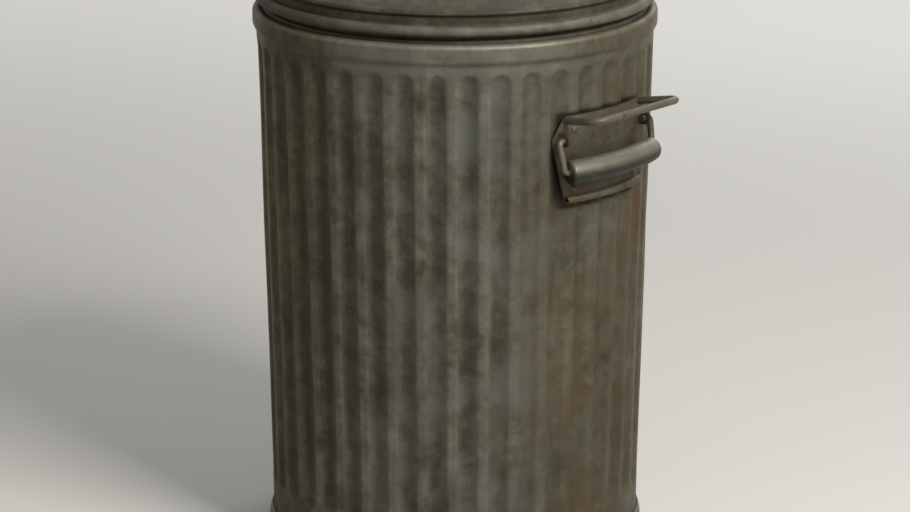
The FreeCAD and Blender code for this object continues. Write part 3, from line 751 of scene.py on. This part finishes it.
# small turned fasteners: one profile spun round and set on every spot, facing outwards, slightly uneven
def fastenerTree():
    tree, given = newTree("fastenerSet", "Fasteners", (
        ("Spots", "Object"), ("Profile", "Object"), ("Segments", "Int"), ("Unevenness", "Float"), ("Seed", "Float"),
        ("Finish", "Material")))
    mesh, turn, radius, height = spinProfile(tree, given)
    shape = moveAndWeld(tree, mesh, onCircle(tree, turn, radius, height))

    spots = put(tree, "GeometryNodeObjectInfo", transform_space="ORIGINAL")
    tree.links.new(given["Spots"], spots.inputs["Object"])
    facing = put(tree, "GeometryNodeInputNamedAttribute", data_type="FLOAT_VECTOR")
    facing.inputs["Name"].default_value = "facing"
    aim = put(tree, "FunctionNodeAlignRotationToVector", axis="Z")
    tree.links.new(facing.outputs[0], aim.inputs["Vector"])
    scatter = put(tree, "GeometryNodeInstanceOnPoints")
    tree.links.new(spots.outputs["Geometry"], scatter.inputs["Points"])
    tree.links.new(shape, scatter.inputs["Instance"])
    tree.links.new(aim.outputs[0], scatter.inputs["Rotation"])

    # hammer marks press the surface in a little, never out
    marks = put(tree, "ShaderNodeTexNoise", noise_dimensions="4D")
    position = put(tree, "GeometryNodeInputPosition").outputs[0]
    for label, value in (("Vector", position), ("W", given["Seed"]), ("Scale", 330.0)):
        plug(tree, marks.inputs[label], value)
    press = product(tree, spread(tree, marks.outputs[0], 0.4, 0.7), given["Unevenness"], -1)
    inward = put(tree, "ShaderNodeVectorMath", operation="SCALE")
    tree.links.new(put(tree, "GeometryNodeInputNormal").outputs[0], inward.inputs[0])
    tree.links.new(press, inward.inputs["Scale"])
    hammered = put(tree, "GeometryNodeSetPosition")
    tree.links.new(realized(tree, scatter.outputs[0]), hammered.inputs["Geometry"])
    tree.links.new(inward.outputs[0], hammered.inputs["Offset"])
    endTree(tree, hammered.outputs[0], given["Finish"])
    return tree


fastenerSet = fastenerTree()
rivetSize = {"head": 4.5, "headHeight": 2.4, "shank": 2.0, "tail": 2.8, "tailHeight": 1.6, "washer": 3.6,
             "washerHole": 2.1, "washerThick": 1.0, "washerEdge": 0.2, "segments": 40, "upper": 506.0, "lower": 441.0,
             "offsets": (-13.5, 13.5), "plateGrip": 2.95, "plateLift": 1.85, "plateWasher": -1.0, "lidGrip": 3.7,
             "lidTop": 663.6, "lidUnder": 659.9, "strapX": 7.5, "strapY": 54.5, "rivetMarks": 0.25,
             "washerMarks": 0.03}


def rivetProfile(s, grip):
    ball = (s["head"] ** 2 + s["headHeight"] ** 2) / (2 * s["headHeight"])
    edge = math.degrees(math.asin((ball - s["headHeight"]) / ball))
    end = -grip - s["washerThick"] - s["tailHeight"]
    neck = end + s["tailHeight"]
    cap = arcPoints((0, s["headHeight"] - ball), ball, 90, edge - 90, 12)
    return cap + [(s["shank"], 0), (s["shank"], neck), (s["tail"], neck), (s["shank"], end), (0, end)]


def washerProfile(s, top):
    low, hole, rim, edge = top - s["washerThick"], s["washerHole"], s["washer"], s["washerEdge"]
    return [(hole, top), (rim - edge, top), (rim, top - edge), (rim, low + edge), (rim - edge, low), (hole, low),
            (hole, top)]


def fastenerPiece(name, node, profile, spots, body, unevenness, seed):
    # spots: (place in mm, outward direction) pairs
    shape = bpy.data.meshes.new(name + "Profile")
    shape.from_pydata([(r * mm, 0, h * mm) for r, h in reversed(profile)], [], [])
    places = bpy.data.meshes.new(name + "Spots")
    places.from_pydata([[value * mm for value in place] for place, outward in spots], [], [])
    facing = places.attributes.new("facing", "FLOAT_VECTOR", "POINT")
    for index, (place, outward) in enumerate(spots):
        facing.data[index].vector = outward
    helpers = [bpy.data.objects.new(mesh.name, mesh) for mesh in (shape, places)]
    for helper in helpers:
        bpy.context.scene.collection.objects.link(helper)
    piece = bakeTree(name, fastenerSet, {
        "Spots": helpers[1], "Profile": helpers[0], "Segments": rivetSize["segments"],
        "Unevenness": unevenness * mm, "Seed": seed, "Finish": rivetFinish})
    for helper in helpers:
        bpy.data.objects.remove(helper)
    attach(piece, body)
    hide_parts(node)


def wallSpots(s, middle, lift):
    taper = math.atan((wall["mouth"] - wall["base"]) / wall["height"])
    spots = []
    for height in (s["lower"], s["upper"]):
        for offset in s["offsets"]:
            angle = math.radians(middle + offset)
            out = (math.cos(taper) * math.cos(angle), math.cos(taper) * math.sin(angle), -math.sin(taper))
            foot = (wallRadius(height) * math.cos(angle), wallRadius(height) * math.sin(angle), height)
            spots.append(([base + lift * along for base, along in zip(foot, out)], out))
    return spots


def strapSpots(s, height):
    return [((x, y, height), (0, 0, 1)) for x in (-s["strapX"], s["strapX"]) for y in (-s["strapY"], s["strapY"])]


plateRivet = rivetProfile(rivetSize, rivetSize["plateGrip"])
plateWasher = washerProfile(rivetSize, rivetSize["plateWasher"])
lidRivet, lidWasher = rivetProfile(rivetSize, rivetSize["lidGrip"]), washerProfile(rivetSize, 0.0)
rivetMarks, washerMarks = rivetSize["rivetMarks"], rivetSize["washerMarks"]
for side, middle, seed in (("right", 4.5, 1.0), ("left", 175.5, 2.0)):
    fastenerPiece(side + "PlateRivets", side + "_plate_rivets", plateRivet,
                  wallSpots(rivetSize, middle, rivetSize["plateLift"]), "can", rivetMarks, seed)
    fastenerPiece(side + "PlateWashers", side + "_plate_washers", plateWasher,
                  wallSpots(rivetSize, middle, 0), "can", washerMarks, seed + 4)
fastenerPiece("lidRivets", "lid_handle_rivets", lidRivet,
              strapSpots(rivetSize, rivetSize["lidTop"]), "lid", rivetMarks, 3.0)
fastenerPiece("lidWashers", "lid_handle_washers", lidWasher,
              strapSpots(rivetSize, rivetSize["lidUnder"]), "lid", washerMarks, 7.0)
print("fasteners set")


# floor, lamps and world
studio = {"floorSize": 9.0, "floor": (0.8, 0.79, 0.77), "floorBounce": (0.30, 0.297, 0.29), "floorRough": 0.8,
          "farFloor": (1.2, 4.5, 0.58), "backdrop": 1.3, "world": (0.57, 0.553, 0.505), "worldStrength": 0.28,
          "lampAim": 0.35, "key": (40.0, 38.0, 2.6, 1.0, 62.0, (1.0, 0.97, 0.92)),
          "fill": (-70.0, 25.0, 3.0, 2.0, 5.0, (1.0, 0.96, 0.88)), "back": (160.0, 36.0, 3.2, 2.4, 30.0, (1, 1, 1))}


def addLamp(name, azimuth, elevation, distance, size, power, warmth):
    # azimuth is measured from the camera, to its right
    turn = cameraTurn + math.radians(azimuth)
    flat = distance * math.cos(math.radians(elevation))
    height = studio["lampAim"] + distance * math.sin(math.radians(elevation))
    data = bpy.data.lights.new(name, "AREA")
    data.size, data.energy, data.color = size, power, warmth
    lamp = bpy.data.objects.new(name, data)
    lamp.location = (flat * math.sin(turn), -flat * math.cos(turn), height)
    aim = Vector((0, 0, studio["lampAim"])) - lamp.location
    lamp.rotation_euler = aim.to_track_quat("-Z", "Y").to_euler()
    bpy.context.scene.collection.objects.link(lamp)


def seenRays(tree):
    # rays that show the floor or backdrop itself, directly, in metal or through glass
    path = put(tree, "ShaderNodeLightPath").outputs
    seen = calc(tree, "MAXIMUM", path["Is Camera Ray"], path["Is Glossy Ray"])
    return calc(tree, "MAXIMUM", seen, path["Is Transmission Ray"])


def floorFinish(s):
    mat = bpy.data.materials.new("paleFloor")
    mat.use_nodes = True
    tree = mat.node_tree
    shader = tree.nodes["Principled BSDF"]
    mix = put(tree, "ShaderNodeMix", data_type="RGBA")
    seen = seenRays(tree)
    tree.links.new(seen, mix.inputs[0])
    mix.inputs[6].default_value = (*s["floorBounce"], 1)
    mix.inputs[7].default_value = (*s["floor"], 1)
    tree.links.new(mix.outputs[2], shader.inputs["Base Color"])
    shader.inputs["Roughness"].default_value = s["floorRough"]
    # far from the lamps the floor glows a little for the eye, so it stays as pale as the backdrop
    away = put(tree, "ShaderNodeVectorMath", operation="LENGTH")
    tree.links.new(put(tree, "ShaderNodeTexCoord").outputs["Object"], away.inputs[0])
    near, far, glow = s["farFloor"]
    shader.inputs["Emission Color"].default_value = (*s["floor"], 1)
    paler = product(tree, seen, spread(tree, away.outputs["Value"], near, far, 0, glow))
    tree.links.new(paler, shader.inputs["Emission Strength"])
    return mat


addLamp("keyLamp", *studio["key"])
addLamp("fillLamp", *studio["fill"])
addLamp("backLamp", *studio["back"])
half = studio["floorSize"]
floorMesh = bpy.data.meshes.new("floor")
floorMesh.from_pydata([(-half, -half, 0), (half, -half, 0), (half, half, 0), (-half, half, 0)], [], [(0, 1, 2, 3)])
floorMesh.materials.append(floorFinish(studio))
floor = bpy.data.objects.new("floor", floorMesh)
bpy.context.scene.collection.objects.link(floor)
world = bpy.data.worlds.new("studioWorld")
world.use_nodes = True
sky = world.node_tree.nodes["Background"]
sky.inputs["Color"].default_value = (*studio["world"], 1)
levels = (studio["worldStrength"], studio["backdrop"])
shown = spread(world.node_tree, seenRays(world.node_tree), 0, 1, *levels, False)
plug(world.node_tree, sky.inputs["Strength"], shown)
bpy.context.scene.world = world
bpy.context.scene.view_settings.view_transform = "Standard"
print("studio set")
